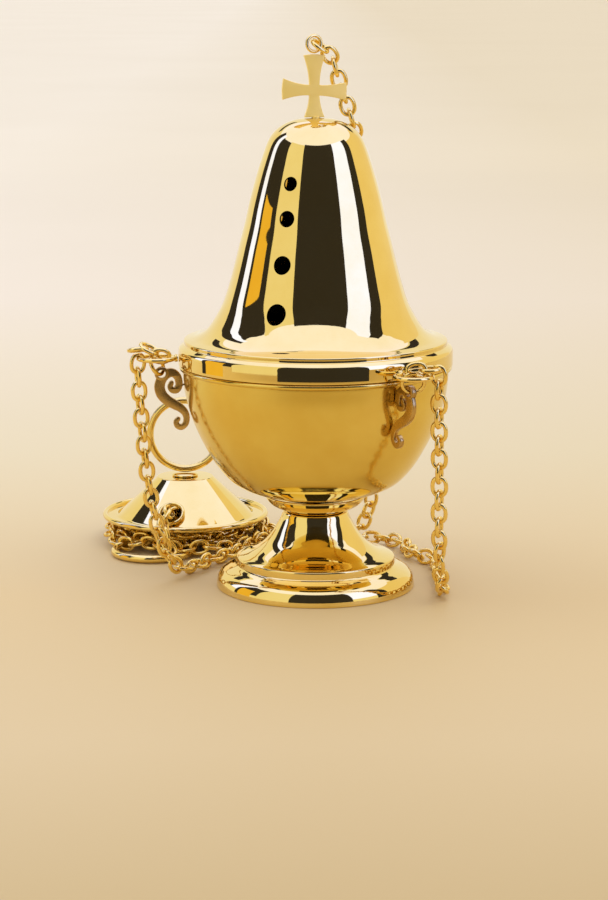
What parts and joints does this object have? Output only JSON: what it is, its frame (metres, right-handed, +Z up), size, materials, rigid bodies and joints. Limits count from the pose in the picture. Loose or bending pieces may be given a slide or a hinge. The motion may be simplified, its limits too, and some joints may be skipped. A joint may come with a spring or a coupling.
{
  "type": "thurible censer",
  "caption": "Footed brass incense bowl with a pierced bell-shaped sliding lid, cross finial, three hanging chains with a lift chain, and a conical chain cap with finger ring.",
  "frame": {"origin": "middle of the foot's underside, on the surface that the thurible stands on", "axes": "+Z up the axis of foot, bowl and lid; -Y is the front, with the smoke holes and the cross to the viewer; +X is the viewer's right"},
  "size_m": [0.1905, 0.2263, 0.2812],
  "materials": {
    "polished_brass": "mirror-polished lacquered brass",
    "satin_brass": "fine satin gold",
    "cross_brass": "satin light gold",
    "ring_brass": "polished wire",
    "chain_brass": "bright plated wire links",
    "bracket_bronze": "brown-gold lacquered plate",
    "fastener_brass": "turned brass",
    "pan_iron": "dull sooty iron"
  },
  "bodies": {
    "root": {"foot": "polished_brass", "foot_base_disc": "polished_brass", "foot_washer": "fastener_brass", "foot_nut": "fastener_brass", "centre_bolt": "fastener_brass", "collar": "polished_brass", "bowl": "satin_brass", "bracket_left": "bracket_bronze", "bracket_right": "bracket_bronze", "bracket_rear": "bracket_bronze", "chain_left_hanging": "chain_brass", "chain_left_lying": "chain_brass", "chain_right_hanging": "chain_brass", "chain_right_lying": "chain_brass", "chain_rear_hanging": "chain_brass", "chain_rear_lying": "chain_brass", "lift_chain_hanging": "chain_brass", "lift_chain_lying": "chain_brass", "chain_heap": "chain_brass"},
    "lid": {"lid": "polished_brass", "guide_ring_left": "ring_brass", "guide_ring_right": "ring_brass", "guide_ring_rear": "ring_brass", "cross": "cross_brass", "cross_nut": "fastener_brass", "cross_ring": "ring_brass", "lift_chain_lid": "chain_brass"},
    "charcoal_pan": {"charcoal_pan": "pan_iron"},
    "jump_ring_left": {"jump_ring_left": "ring_brass"},
    "jump_ring_right": {"jump_ring_right": "ring_brass"},
    "jump_ring_rear": {"jump_ring_rear": "ring_brass"},
    "chain_cap": {"chain_cap": "polished_brass", "grommet": "ring_brass", "cap_eye_left": "ring_brass", "cap_eye_right": "ring_brass", "cap_eye_rear": "ring_brass", "lift_chain_tail": "chain_brass"},
    "finger_ring": {"ring_pedestal": "polished_brass", "swivel_nut": "fastener_brass", "finger_ring": "ring_brass"},
    "pull_ring": {"pull_ring": "ring_brass"}
  },
  "joints": [
    {"name": "lid_lift", "type": "slide", "parent": "root", "child": "lid", "axis": [0, 0, 1], "range_m": [0, 0.03], "deforming": ["chain_left_hanging", "chain_right_hanging", "chain_rear_hanging", "lift_chain_hanging"]},
    {"name": "pan_lift", "type": "slide", "parent": "root", "child": "charcoal_pan", "axis": [0, 0, 1], "range_m": [0, 0.025]},
    {"name": "jump_ring_left_swing", "type": "hinge", "parent": "root", "child": "jump_ring_left", "pos_m": [-0.07824, -0.00753, 0.1118], "axis": [0.0958, -0.9954, 0], "range_deg": [-12, 12]},
    {"name": "jump_ring_right_swing", "type": "hinge", "parent": "root", "child": "jump_ring_right", "pos_m": [0.04564, -0.06399, 0.1118], "axis": [0.8141, 0.5807, 0], "range_deg": [-12, 12]},
    {"name": "jump_ring_rear_swing", "type": "hinge", "parent": "root", "child": "jump_ring_rear", "pos_m": [0.03259, 0.07152, 0.1118], "axis": [-0.91, 0.4147, 0], "range_deg": [-12, 12]},
    {"name": "cap_lift", "type": "slide", "parent": "root", "child": "chain_cap", "axis": [0, 0, 1], "range_m": [0, 0.025]},
    {"name": "finger_ring_swivel", "type": "hinge", "parent": "chain_cap", "child": "finger_ring", "pos_m": [-0.072, 0.101, 0.04], "axis": [0, 0, 1], "continuous": true},
    {"name": "pull_ring_draw", "type": "slide", "parent": "chain_cap", "child": "pull_ring", "axis": [-0.901, -0.4338, 0], "range_m": [0, 0.03]}
  ],
  "couplings": [
    {"joint": "pull_ring_draw", "follows": "lid_lift", "ratio": 1}
  ]
}
